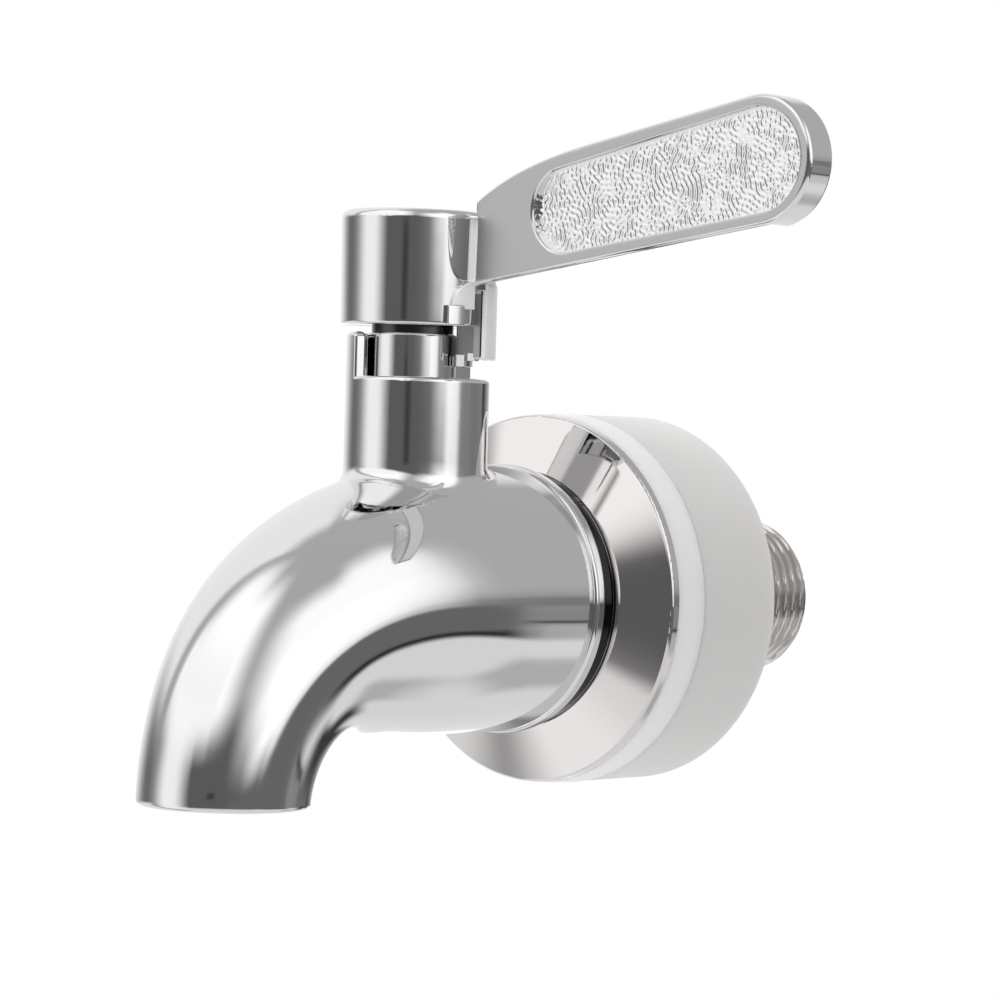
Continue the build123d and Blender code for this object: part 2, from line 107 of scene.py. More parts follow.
# Studio: what the chrome sees around it. Azimuth is measured from the camera to its right, elevation up.
# Each panel is a soft-edged patch of light or dark, painted over the ones before it.
studio = {
    "wall": "#b4b4b4",
    "diffuseTop": 1.24,
    "diffuseBottom": 0.08,
    "panels": [
        # name, azimuth from and to, elevation from and to, soft edge across and up, level
        ("ceiling", -190, 190, 66, 102, 10, 20, 0.46),
        ("dark room below", -190, 190, -89, 9, 10, 14, 0.17),
        ("pale floor", -190, 190, -97, -20, 10, 5, 0.78),
        ("floor's far edge", 60, 160, -21.5, -17, 20, 4, 0.03),
        ("tap's shade on floor", 104, 130, -46, -30, 12, 10, 0.5),
        ("pale floor left", -190, -79, -91, -11, 46, 9, 0.86),
        ("pale floor right", 100, 116, -30, -12, 24, 5, 0.80),
        ("wall above floor's right edge", 92, 114, -11, 3, 10, 3, 0.28),
        ("floor's far edge right", 95, 114, -12.2, -11, 9, 1.5, 0.06),
        ("gap beside floor", 126, 145, -32, -11, 16, 10, 0.05),
        ("dark front", -45, 45, -21, 19, 7, 16, 0.12),
        ("dark right", 112, 130, -8, 12, 36, 15, 0.16),
        ("dark right line", 139, 149, -8, 12, 9, 15, 0.04),
        ("back wall", 161, 221, -14, 60, 39, 42, 0.93),
        ("white behind", 164, 196, -20, -4, 12, 6, 1.2),
        ("back wall side", -170, -116, 14, 75, 12, 14, 0.95),
        ("back corner", -106, -74, -67, 12, 18, 12, 0.32),
        ("back corner high", -112, -98, 12, 51, 8, 12, 0.40),
        ("right side", 74, 162, 2, 88, 12, 18, 0.47),
        ("left softbox", -91, -54, -45, 75, 26, 19, 1.04),
        ("left softbox top", -99, -11, 18, 70, 32, 19, 1.24),
        ("left softbox middle", -103, -27, 18, 42, 6, 20, 1.13),
        ("right softbox", 49, 73, -4, 57, 12, 20, 1.14),
        ("right softbox top", 17, 70, 7, 49, 35, 19, 1.21),
        ("right softbox low", 32, 63, 1, 27, 25, 7, 1.33),
        ("dark below right softbox", 8, 86, -18, -1.6, 16, 2.6, 0.15),
        ("neck's right shade", 86, 128, -2.6, 2.6, 46, 2.4, 0.20),
        ("neck's right edge", 130, 140, -2.6, 2.6, 10, 2.4, 0.04),
        ("camera", -18, -9, -0.4, 1.5, 8, 0.8, 0.05),
    ],
}


def addPanel(tree, azimuth, elevation, level, panel):
    # Mixes one panel over the level so far
    name, left, right, low, high, softAcross, softUp, panelLevel = panel
    shifted = addNode(tree, "ShaderNodeMath", {"operation": "SUBTRACT"}, {
        0: azimuth, 1: (left + right) / 2})
    wrapped = addNode(tree, "ShaderNodeMath", {"operation": "WRAP"}, {
        0: shifted.outputs[0], 1: 180.0, 2: -180.0})
    raised = addNode(tree, "ShaderNodeMath", {"operation": "SUBTRACT"}, {
        0: elevation, 1: (low + high) / 2})
    across = (wrapped, (right - left) / 2, softAcross)
    upright = (raised, (high - low) / 2, softUp)
    masks = []
    for offset, half, soft in (across, upright):
        distance = addNode(tree, "ShaderNodeMath", {"operation": "ABSOLUTE"}, {0: offset.outputs[0]})
        masks.append(addNode(tree, "ShaderNodeMapRange", {"interpolation_type": "SMOOTHSTEP"}, {
            "Value": distance.outputs[0], "From Min": half + soft / 2, "From Max": half - soft / 2}))
    mask = addNode(tree, "ShaderNodeMath", {"operation": "MULTIPLY"}, {
        0: masks[0].outputs[0], 1: masks[1].outputs[0]})
    mix = addNode(tree, "ShaderNodeMix", {"data_type": "FLOAT", "label": name}, {
        0: mask.outputs[0], 2: level, 3: panelLevel})
    return mix.outputs[0]


def addStudio(setup):
    # The camera sees plain white, the chrome sees the panels, and the lamp's soft fill comes from above
    world = bpy.data.worlds.new("paleStudio")
    bpy.context.scene.world = world
    world.use_nodes = True
    tree = world.node_tree
    tree.nodes.clear()
    direction = addNode(tree, "ShaderNodeTexCoord")
    facing = addNode(tree, "ShaderNodeMapping", {"vector_type": "POINT"}, {
        "Vector": direction.outputs["Generated"], "Rotation": (0, 0, radians(90 - cameraSetup["azimuth"]))})
    split = addNode(tree, "ShaderNodeSeparateXYZ", None, {0: facing.outputs[0]})
    turn = addNode(tree, "ShaderNodeMath", {"operation": "ARCTAN2"}, {
        0: split.outputs["Y"], 1: split.outputs["X"]})
    azimuth = addNode(tree, "ShaderNodeMath", {"operation": "DEGREES"}, {0: turn.outputs[0]})
    rise = addNode(tree, "ShaderNodeMath", {"operation": "ARCSINE"}, {0: split.outputs["Z"]})
    elevation = addNode(tree, "ShaderNodeMath", {"operation": "DEGREES"}, {0: rise.outputs[0]})
    wall = addNode(tree, "ShaderNodeValue")
    wall.outputs[0].default_value = linear(setup["wall"])[0]
    level = wall.outputs[0]
    for panel in setup["panels"]:
        level = addPanel(tree, azimuth.outputs[0], elevation.outputs[0], level, panel)
    white = (1, 1, 1, 1)
    glossy = addNode(tree, "ShaderNodeBackground", None, {"Color": white, "Strength": level})
    ambient = addNode(tree, "ShaderNodeMapRange", None, {
        "Value": split.outputs["Z"], "From Min": -1.0, "From Max": 1.0,
        "To Min": setup["diffuseBottom"], "To Max": setup["diffuseTop"]})
    diffuse = addNode(tree, "ShaderNodeBackground", None, {"Color": white, "Strength": ambient.outputs[0]})
    backdrop = addNode(tree, "ShaderNodeBackground", None, {"Color": white, "Strength": 1.0})
    path = addNode(tree, "ShaderNodeLightPath")
    seen = addNode(tree, "ShaderNodeMath", {"operation": "MAXIMUM"}, {
        0: path.outputs["Is Camera Ray"], 1: path.outputs["Is Transmission Ray"]})
    lit = addNode(tree, "ShaderNodeMixShader", None, {
        0: path.outputs["Is Glossy Ray"], 1: diffuse.outputs[0], 2: glossy.outputs[0]})
    mix = addNode(tree, "ShaderNodeMixShader", None, {
        0: seen.outputs[0], 1: lit.outputs[0], 2: backdrop.outputs[0]})
    addNode(tree, "ShaderNodeOutputWorld", None, {"Surface": mix.outputs[0]})


addStudio(studio)
bpy.context.scene.view_settings.view_transform = "Standard"
print("studio lit")


# Floor: pale, only near the tap, where it takes the soft shadow; past its faded edge the room is white
floorSetup = {
    "height": -75 * mm, "size": 0.5, "solidTo": 0.12, "goneAt": 0.20, "colour": "#f4f4f4", "roughness": 0.9,
}


def addFloor(setup):
    # Painted matt board, clear from below, so that the tap shows from there too
    bpy.ops.mesh.primitive_plane_add(size=setup["size"], location=(0, 0, setup["height"]))
    floor = bpy.context.object
    floor.name = "paleFloor"
    floor.visible_glossy = False
    material, tree, shader = startMaterial("paleSweep")
    shader.inputs["Base Color"].default_value = linear(setup["colour"])
    shader.inputs["Roughness"].default_value = setup["roughness"]
    place = addNode(tree, "ShaderNodeTexCoord")
    away = addNode(tree, "ShaderNodeVectorMath", {"operation": "LENGTH"}, {0: place.outputs["Object"]})
    fade = addNode(tree, "ShaderNodeMapRange", {"interpolation_type": "SMOOTHSTEP"}, {
        "Value": away.outputs["Value"], "From Min": setup["solidTo"], "From Max": setup["goneAt"]})
    clear = addNode(tree, "ShaderNodeBsdfTransparent")
    side = addNode(tree, "ShaderNodeNewGeometry")
    gone = addNode(tree, "ShaderNodeMath", {"operation": "MAXIMUM"}, {
        0: fade.outputs[0], 1: side.outputs["Backfacing"]})
    mix = addNode(tree, "ShaderNodeMixShader", None, {
        0: gone.outputs[0], 1: shader.outputs[0], 2: clear.outputs[0]})
    tree.links.new(mix.outputs[0], tree.nodes["Material Output"].inputs["Surface"])
    floor.data.materials.append(material)


addFloor(floorSetup)

# Lamp: one large soft light from the upper left, for the washers and the shadow; the chrome sees the panels
lampSetup = {"azimuth": -48, "elevation": 52, "distance": 0.75, "size": 0.5, "power": 2.2}


def addLamp(setup):
    az = radians(cameraSetup["azimuth"] + setup["azimuth"])
    el = radians(setup["elevation"])
    back = Vector((sin(az) * cos(el), -cos(az) * cos(el), sin(el)))
    bpy.ops.object.light_add(type="AREA", location=back * setup["distance"])
    lamp = bpy.context.object
    lamp.name = "softLamp"
    lamp.rotation_euler = back.to_track_quat("Z", "Y").to_euler()
    lamp.data.size = setup["size"]
    lamp.data.energy = setup["power"]
    lamp.visible_glossy = False
    lamp.visible_camera = False


addLamp(lampSetup)
print("floor and lamp placed")


# Materials
def addGrain(tree, shader, scale, strength, distance):
    # Fine unevenness in the surface, fed to the shader's normal; scale counts grains a metre, so 1000 is 1 mm
    place = addNode(tree, "ShaderNodeTexCoord")
    noise = addNode(tree, "ShaderNodeTexNoise", None, {
        "Vector": place.outputs["Object"], "Scale": scale, "Detail": 3.0, "Roughness": 0.5})
    bump = addNode(tree, "ShaderNodeBump", None, {
        "Height": noise.outputs["Fac"], "Strength": strength, "Distance": distance})
    tree.links.new(bump.outputs["Normal"], shader.inputs["Normal"])


# Bright chrome over a polished zinc casting: mirror sharp, with the faint waviness that buffing leaves
chromeFinish = {
    "colour": "#e8e8e8", "roughness": 0.05, "roughnessSpread": 0.3, "hazeScale": 400.0,
    "waveScale": 90.0, "waveStrength": 0.05, "waveDepth": 0.3 * mm,
}


def polishedChromePlate(finish):
    material, tree, shader = startMaterial("polishedChromePlate")
    shader.inputs["Base Color"].default_value = linear(finish["colour"])
    shader.inputs["Metallic"].default_value = 1.0
    addGrain(tree, shader, finish["waveScale"], finish["waveStrength"], finish["waveDepth"])
    haze = addNode(tree, "ShaderNodeTexNoise", None, {"Scale": finish["hazeScale"], "Detail": 4.0})
    level = addNode(tree, "ShaderNodeMapRange", None, {
        "Value": haze.outputs["Fac"],
        "To Min": finish["roughness"] * (1 - finish["roughnessSpread"]),
        "To Max": finish["roughness"] * (1 + finish["roughnessSpread"])})
    tree.links.new(level.outputs[0], shader.inputs["Roughness"])
    return material


chrome = polishedChromePlate(chromeFinish)

# Lever's chrome: the same plate, but its flat face is satin, so it stays an even grey between bright edges
leverFinish = {
    "colour": "#e8e8e8", "roughness": 0.05, "satinColour": "#c3c3c3", "satinRoughness": 0.42,
    "faceY": -35.9 * mm, "faceBand": 0.03 * mm, "armStart": 7.6 * mm,
}


def satinFacedChrome(finish):
    material, tree, shader = startMaterial("satinFacedChrome")
    shader.inputs["Metallic"].default_value = 1.0
    place = addNode(tree, "ShaderNodeTexCoord")
    split = addNode(tree, "ShaderNodeSeparateXYZ", None, {0: place.outputs["Object"]})
    onFace = addNode(tree, "ShaderNodeMath", {"operation": "COMPARE"}, {
        0: split.outputs["Y"], 1: finish["faceY"], 2: finish["faceBand"]})
    onArm = addNode(tree, "ShaderNodeMath", {"operation": "GREATER_THAN"}, {
        0: split.outputs["X"], 1: finish["armStart"]})
    mask = addNode(tree, "ShaderNodeMath", {"operation": "MULTIPLY"}, {
        0: onFace.outputs[0], 1: onArm.outputs[0]})
    colour = addNode(tree, "ShaderNodeMix", {"data_type": "RGBA"}, {
        0: mask.outputs[0], 6: linear(finish["colour"]), 7: linear(finish["satinColour"])})
    tree.links.new(colour.outputs[2], shader.inputs["Base Color"])
    rough = addNode(tree, "ShaderNodeMapRange", None, {
        "Value": mask.outputs[0], "To Min": finish["roughness"], "To Max": finish["satinRoughness"]})
    tree.links.new(rough.outputs[0], shader.inputs["Roughness"])
    return material


leverChrome = satinFacedChrome(leverFinish)

# Rosette's chrome: thin pressed and plated sheet, in longer waves than the casting and a trace warmer.
# Its neck behind the flange is painted dark: painted shade for the gap, where no light gets in.
rosetteFinish = {
    **chromeFinish, "colour": "#e2dfde", "roughness": 0.045, "waveScale": 60.0,
    "neckPaintedShade": "#2e2e2e", "neckY": -19.42 * mm,
}


def platedRosette(finish):
    material = polishedChromePlate(finish)
    material.name = "platedRosette"
    tree = material.node_tree
    place = addNode(tree, "ShaderNodeTexCoord")
    split = addNode(tree, "ShaderNodeSeparateXYZ", None, {0: place.outputs["Object"]})
    # Painted shade: the neck behind the flange gets a dark base colour
    inGap = addNode(tree, "ShaderNodeMath", {"operation": "LESS_THAN"}, {
        0: split.outputs["Y"], 1: finish["neckY"]})
    colour = addNode(tree, "ShaderNodeMix", {"data_type": "RGBA"}, {
        0: inGap.outputs[0], 6: linear(finish["colour"]), 7: linear(finish["neckPaintedShade"])})
    tree.links.new(colour.outputs[2], tree.nodes["Principled BSDF"].inputs["Base Color"])
    return material


rosetteChrome = platedRosette(rosetteFinish)

# Small parts, each with the grain that its casting, moulding or grinding leaves. The real grain is finer than
# the picture can show, so it is drawn at 0.4 to 1.1 mm.
smallFinishes = {
    # name: colour, metallic, roughness, grains a metre, grain strength
    # Lever's root and tab: plate over the casting's rougher skin, so they blur what they reflect. Their pale,
    # almost unmetallic white is painted light: a painted reflection of the bright room.
    "castSkinPaintedSheen": ("#fafafa", 0.2, 0.30, 1200.0, 0.08),  # pale and soft, with hardly a reflection
    "satinChromePlate": ("#b4b4b4", 1.0, 0.36, 1200.0, 0.08),  # an even mid grey on the tab's cut end
    # Painted shade: a darker grey for the shade inside the collar's window
    "paintedShadeChrome": ("#8c8c8c", 1.0, 0.30, 1200.0, 0.08),  # darker, inside the collar's window
    # Painted shade: a near black strip for the dark line beside the plate
    "paintedShadeStrip": ("#303030", 1.0, 0.40, 1200.0, 0.08),  # near black, a line beside the plate
    # Ring under the hub: dark acetal, moulded in a polished tool, a black line with a clear glint
    "polishedAcetal": ("#4c4c4c", 0.9, 0.12, 1200.0, 0.08),
    # Inner pieces, unseen when the tap is whole
    "sealRubber": ("#1c1c1d", 0.0, 0.55, 900.0, 0.15),  # matt black, moulded
    "machinedBrass": ("#c8a45c", 1.0, 0.24, 1400.0, 0.10),  # yellow, with fine tool marks
    "groundCeramic": ("#f2efe9", 0.0, 0.28, 2500.0, 0.05),  # white alumina with a silky shine
    "springSteel": ("#b9babc", 1.0, 0.22, 1800.0, 0.08),  # grey, drawn and tumbled
}
grainDepth = 0.03 * mm


def grainedMaterial(name, finish):
    colour, metallic, roughness, scale, strength = finish
    material, tree, shader = startMaterial(name)
    shader.inputs["Base Color"].default_value = linear(colour)
    shader.inputs["Metallic"].default_value = metallic
    shader.inputs["Roughness"].default_value = roughness
    addGrain(tree, shader, scale, strength, grainDepth)
    return material


small = {name: grainedMaterial(name, finish) for name, finish in smallFinishes.items()}

# Shank: turned steel with faint tool marks round it, 0.2 mm apart, and slightly warm beside the chrome.
# Its flange is polished.
steelFinish = {
    "colour": "#dcd8d5", "roughness": 0.13, "marksAlong": 5200.0, "marksAcross": 30.0, "markStrength": 0.4,
    "markDepth": 0.006 * mm, "flangeColour": "#e9e9e9", "flangeRoughness": 0.05, "flangeY": -21.3 * mm,
}


def turnedSteel(finish):
    material, tree, shader = startMaterial("turnedSteel")
    shader.inputs["Metallic"].default_value = 1.0
    place = addNode(tree, "ShaderNodeTexCoord")
    split = addNode(tree, "ShaderNodeSeparateXYZ", None, {0: place.outputs["Object"]})
    flange = addNode(tree, "ShaderNodeMath", {"operation": "LESS_THAN"}, {
        0: split.outputs["Y"], 1: finish["flangeY"]})
    colour = addNode(tree, "ShaderNodeMix", {"data_type": "RGBA"}, {
        0: flange.outputs[0], 6: linear(finish["colour"]), 7: linear(finish["flangeColour"])})
    tree.links.new(colour.outputs[2], shader.inputs["Base Color"])
    rough = addNode(tree, "ShaderNodeMapRange", None, {
        "Value": flange.outputs[0], "To Min": finish["roughness"], "To Max": finish["flangeRoughness"]})
    tree.links.new(rough.outputs[0], shader.inputs["Roughness"])
    squeeze = addNode(tree, "ShaderNodeMapping", None, {
        "Vector": place.outputs["Object"],
        "Scale": (finish["marksAcross"], finish["marksAlong"], finish["marksAcross"])})
    noise = addNode(tree, "ShaderNodeTexNoise", None, {
        "Vector": squeeze.outputs[0], "Scale": 1.0, "Detail": 2.0})
    bump = addNode(tree, "ShaderNodeBump", None, {
        "Height": noise.outputs["Fac"], "Strength": finish["markStrength"], "Distance": finish["markDepth"]})
    tree.links.new(bump.outputs["Normal"], shader.inputs["Normal"])
    return material


steel = turnedSteel(steelFinish)

# Silicone washers: milky and soft, light goes a few millimetres in; a faint moulded matt skin
siliconeFinish = {
    "name": "milkySilicone", "colour": "#d0cfce", "roughness": 0.48, "ior": 1.41,
    "weight": 0.7, "depth": 3.5 * mm, "depthByColour": (1.0, 0.96, 0.92),
    "grainScale": 1500.0, "grainStrength": 0.12, "grainDepth": 0.02 * mm,
}
thinSiliconeFinish = {**siliconeFinish, "name": "thinMilkySilicone", "colour": "#e9e8e7"}


def milkySilicone(finish):
    material, tree, shader = startMaterial(finish["name"])
    shader.inputs["Base Color"].default_value = linear(finish["colour"])
    shader.inputs["Roughness"].default_value = finish["roughness"]
    shader.inputs["IOR"].default_value = finish["ior"]
    shader.inputs["Subsurface Weight"].default_value = finish["weight"]
    shader.inputs["Subsurface Radius"].default_value = finish["depthByColour"]
    shader.inputs["Subsurface Scale"].default_value = finish["depth"]
    addGrain(tree, shader, finish["grainScale"], finish["grainStrength"], finish["grainDepth"])
    return material


silicone = milkySilicone(siliconeFinish)
thinSilicone = milkySilicone(thinSiliconeFinish)

slotMaterials = {
    "tap_body": chrome, "lever_handle": leverChrome, "valve_bonnet": chrome, "screw_cap": chrome,
    "glide_ring": small["polishedAcetal"], "rosette": rosetteChrome, "threaded_shank": steel,
    "outer_washer": thinSilicone, "inner_washer": silicone,
    "handle_screw": small["springSteel"], "lock_washer": small["springSteel"],
    "spindle_clip": small["springSteel"], "valve_spindle": small["machinedBrass"],
    "cartridge_housing": small["machinedBrass"], "fixed_disc": small["groundCeramic"],
    "moving_disc": small["groundCeramic"], "disc_seal": small["sealRubber"],
    "housing_seal": small["sealRubber"], "bonnet_seal": small["sealRubber"],
    "lower_spindle_seal": small["sealRubber"], "upper_spindle_seal": small["sealRubber"],
    "shank_seal": small["sealRubber"],
}
for name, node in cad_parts.items():
    for slot in node.material_slots:
        slot.material = slotMaterials[name]
print("materials assigned")


# Modelling helpers
meshSetup = {"mergeWithin": 0.002 * mm, "smoothBelow": radians(35)}


def addSheet(name, columns, rows, place, material):
    # Grid primitive wrapped to a shape: place turns each pair of shares into a point, and seams are merged
    bpy.ops.mesh.primitive_grid_add(x_subdivisions=columns, y_subdivisions=rows, size=1)
    piece = bpy.context.object
    piece.name = name
    for vertex in piece.data.vertices:
        vertex.co = place(vertex.co.x + 0.5, vertex.co.y + 0.5) * mm
    bpy.ops.object.mode_set(mode="EDIT")
    bpy.ops.mesh.select_all(action="SELECT")
    bpy.ops.mesh.remove_doubles(threshold=meshSetup["mergeWithin"])
    bpy.ops.mesh.normals_make_consistent(inside=False)
    bpy.ops.object.mode_set(mode="OBJECT")
    bpy.ops.object.shade_smooth_by_angle(angle=meshSetup["smoothBelow"])
    piece.data.materials.append(material)
    return piece


def copyAbove(node, name, cut):
    # A CAD node's own faces above a level cut
    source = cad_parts[node]
    top = source.copy()
    top.data = source.data.copy()
    top.name = name
    bpy.context.scene.collection.objects.link(top)
    bpy.ops.object.select_all(action="DESELECT")
    bpy.context.view_layer.objects.active = top
    top.select_set(True)
    bpy.ops.object.mode_set(mode="EDIT")
    bpy.ops.mesh.select_all(action="SELECT")
    bpy.ops.mesh.bisect(plane_co=(0, 0, cut * mm), plane_no=(0, 0, 1), clear_inner=True)
    bpy.ops.object.mode_set(mode="OBJECT")
    return top


def roundedProfile(corners, steps=6):
    # Points of a profile from (radius, height, corner round)
    points = []
    for index, (radius, height, edgeRound) in enumerate(corners):
        here = Vector((radius, height))
        if edgeRound == 0 or index in (0, len(corners) - 1):
            points.append(here)
            continue
        before = (Vector(corners[index - 1][:2]) - here).normalized()
        after = (Vector(corners[index + 1][:2]) - here).normalized()
        first, last = here + before * edgeRound, here + after * edgeRound
        for step in range(steps + 1):
            t = step / steps
            points.append(first * (1 - t) ** 2 + here * 2 * t * (1 - t) + last * t * t)
    return points


# Body's skin: straight barrel and drooping spout as one run of smooth rings, the mouth's lip, and the bore
# inside. Lengths are in millimetres; shares run along the spout's curve.
skinSetup = {
    "segments": 144, "barrelRings": 24, "spoutRings": 96, "boreRings": 30, "roundSteps": 6,
    "rear": -23.0, "spigotRadius": 9.5, "barrelRadius": 13.6, "barrelEnd": -36.1, "rearRound": 0.4,
    "reach": 24.6, "drop": 19.5, "lead": 19.9, "fall": 6.97, "radii": (13.6, 9.95, 8.33, 8.41),
    "mouthRound": 0.5, "boreRadius": 6.4, "boreEdge": 0.4, "boreMouth": 0.97, "boreStart": 0.4,
    "smoothReach": 14, "smoothSpread": 6.5,
    "fillHeight": 0.068, "fillAt": 0.25, "fillSpread": 0.18,
    "openY": -35.5, "openRadius": 5.3, "openAbove": 5.0,
}


def bezier(controls, t):
    # Cubic curve through four controls, which are points or plain numbers
    first, second, third, last = controls
    s = 1 - t
    return first * s**3 + second * (3 * s * s * t) + third * (3 * s * t * t) + last * t**3


def bezierSlope(controls, t):
    first, second, third, last = controls
    s = 1 - t
    slope = (second - first) * (3 * s * s) + (third - second) * (6 * s * t) + (last - third) * (3 * t * t)
    return slope.normalized()


def smoothRings(rings, setup):
    # Weighted mean over neighbouring rings, so that the barrel runs into the bend with no break in the shine
    smooth = []
    for index in range(len(rings)):
        reach = min(setup["smoothReach"], index, len(rings) - 1 - index)
        total, centre, flow, radius = 0.0, Vector(), Vector(), 0.0
        for offset in range(-reach, reach + 1):
            weight = exp(-(offset / setup["smoothSpread"]) ** 2 / 2)
            near = rings[index + offset]
            total += weight
            centre += near[0] * weight
            flow += near[1] * weight
            radius += near[2] * weight
        smooth.append((centre / total, flow.normalized(), radius / total))
    return smooth


def skinRings(setup):
    # Each ring: centre, direction of flow, radius
    start = Vector((0, setup["barrelEnd"], 0))
    mouth = Vector((0, setup["barrelEnd"] - setup["reach"], -setup["drop"]))
    line = (start, start - Vector((0, setup["lead"], 0)), mouth + Vector((0, 0, setup["fall"])), mouth)
    forward = Vector((0, -1, 0))
    rear, rearRound, steps = setup["rear"], setup["rearRound"], setup["roundSteps"]
    lip = setup["mouthRound"]
    rings = [(Vector((0, rear, 0)), forward, setup["spigotRadius"])]
    for step in range(steps + 1):
        turn = pi / 2 * step / steps
        radius = setup["barrelRadius"] - rearRound * (1 - sin(turn))
        rings.append((Vector((0, rear - rearRound * (1 - cos(turn)), 0)), forward, radius))
    outside = []
    for step in range(1, setup["barrelRings"]):
        y = rear - rearRound + (setup["barrelEnd"] - rear + rearRound) * step / setup["barrelRings"]
        outside.append((Vector((0, y, 0)), forward, setup["barrelRadius"]))
    lastT = 1 - lip / (3 * setup["fall"])
    for step in range(setup["spoutRings"] + 1):
        t = lastT * step / setup["spoutRings"]
        outside.append((bezier(line, t), bezierSlope(line, t), bezier(setup["radii"], t)))
    rings += smoothRings(outside, setup)
    down = bezierSlope(line, 1)
    for step in range(1, steps + 1):
        turn = pi / 2 * step / steps
        rings.append((mouth - down * lip * (1 - sin(turn)), down, setup["radii"][3] - lip * (1 - cos(turn))))
    bore = setup["boreRadius"]
    rings.append((mouth, down, bore + setup["boreEdge"]))
    rings.append((mouth - down * setup["boreEdge"], down, bore))
    for step in range(1, setup["boreRings"] + 1):
        t = setup["boreMouth"] + (setup["boreStart"] - setup["boreMouth"]) * step / setup["boreRings"]
        rings.append((bezier(line, t), bezierSlope(line, t), bore))
    rings.append((bezier(line, setup["boreStart"]), bezierSlope(line, setup["boreStart"]), 0.0))
    return rings


def addSkin(setup):
    rings = skinRings(setup)
    side = Vector((1, 0, 0))
    firstBend = setup["roundSteps"] + 1 + setup["barrelRings"]

    def place(u, v):
        # The underside is a little fuller in the inner bend, where the casting has its parting line
        index = round(v * (len(rings) - 1))
        centre, flow, radius = rings[index]
        turn = 2 * pi * u
        along = (index - firstBend) / setup["spoutRings"]
        under = max(0.0, sin(turn) * (1 if flow.cross(side).z > 0 else -1)) if along < 1 else 0.0
        fill = setup["fillHeight"] * exp(-((along - setup["fillAt"]) / setup["fillSpread"]) ** 2)
        return centre + (side * cos(turn) + flow.cross(side) * -sin(turn)) * radius * (1 + fill * under**2)

    return addSheet("bodySkin", setup["segments"], len(rings) - 1, place, chrome)


def openUnderCollar(piece, setup):
    # The skin is open inside the collar, where the cartridge stands
    bpy.ops.object.select_all(action="DESELECT")
    bpy.context.view_layer.objects.active = piece
    piece.select_set(True)
    bpy.ops.object.mode_set(mode="EDIT")
    bpy.ops.mesh.select_mode(type="VERT")
    bpy.ops.mesh.select_all(action="DESELECT")
    bpy.ops.object.mode_set(mode="OBJECT")
    for vertex in piece.data.vertices:
        away = sqrt(vertex.co.x**2 + (vertex.co.y - setup["openY"] * mm) ** 2)
        vertex.select = away < setup["openRadius"] * mm and vertex.co.z > setup["openAbove"] * mm
    bpy.ops.object.mode_set(mode="EDIT")
    bpy.ops.mesh.delete(type="VERT")
    bpy.ops.object.mode_set(mode="OBJECT")


skin = addSkin(skinSetup)
openUnderCollar(skin, skinSetup)

# Collar's foot: runs up from the barrel with a soft flare into the upright wall
collarSetup = {
    "segments": 144, "blendRows": 10, "wallRows": 4,
    "axisY": -35.45, "radius": 7.2, "flare": 1.3, "sunk": 0.004, "cut": 18.0, "lookFrom": 30,
}


def skinHeight(x, y):
    # Height of the barrel's skin below a point
    point = skin.ray_cast(Vector((x, y, collarSetup["lookFrom"])) * mm, Vector((0, 0, -1)))[1]
    return point.z / mm


def addCollarFoot(setup):
    rows = setup["blendRows"] + setup["wallRows"]

    def place(u, v):
        away = Vector((cos(2 * pi * u), sin(2 * pi * u), 0))
        wall = Vector((0, setup["axisY"], 0)) + away * setup["radius"]
        corner = Vector((wall.x, wall.y, skinHeight(wall.x, wall.y)))
        top = corner + Vector((0, 0, setup["flare"]))
        row = round(v * rows)
        if row > setup["blendRows"]:
            share = (row - setup["blendRows"]) / setup["wallRows"]
            return Vector((wall.x, wall.y, top.z + (setup["cut"] - top.z) * share))
        out = wall + away * setup["flare"]
        foot = Vector((out.x, out.y, skinHeight(out.x, out.y) - setup["sunk"]))
        t = row / setup["blendRows"]
        return foot * (1 - t) ** 2 + corner * 2 * t * (1 - t) + top * t * t

    return addSheet("collarFoot", setup["segments"], rows, place, chrome)


collarFoot = addCollarFoot(collarSetup)


# Ledge, well and stop wall: the casting's own faces above the cut
collarTop = copyAbove("tap_body", "collarTop", collarSetup["cut"])
for piece in (skin, collarFoot, collarTop):
    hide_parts("tap_body")
    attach(piece, "root")
print("body modelled")


# Shank: front spigot, bright flange, plain neck, and the threaded stub with its real helical ridge
shankSetup = {
    "segments": 120, "threadRadius": 8.3, "rootRadius": 7.44, "pitch": 1.34, "start": 0.25, "end": 19.6,
    "chamfer": 0.9, "runOut": 1.2, "rowStep": 0.084, "ridgeGain": 1.5, "rootFlat": 0.14,
    # radius, place along the shank, corner round
    "front": [(5.5, -27.0, 0), (9.5, -27.0, 0), (9.5, -23.0, 0), (13.8, -23.0, 0.4), (13.8, -21.5, 0.4),
              (8.0, -21.5, 0), (8.0, -0.1, 0), (8.0, 0.1, 0)],
    "rear": [(6.0, 19.6), (5.5, 19.1), (5.5, -27.0)],
}


def threadRadius(setup, y, turn):
    # Rounded ridge that climbs one pitch a turn and runs out towards both ends
    phase = (y / setup["pitch"] - turn) % 1.0
    wave = 0.5 - 0.5 * cos(2 * pi * phase)
    ridge = min(1.0, max(0.0, setup["ridgeGain"] * wave - setup["rootFlat"]))
    fade = min(1.0, max(0.0, (y - setup["start"]) / setup["runOut"]))
    radius = setup["rootRadius"] + (setup["threadRadius"] - setup["rootRadius"]) * ridge * fade
    return min(radius, setup["threadRadius"] - max(0.0, y - setup["end"] + setup["chamfer"]))


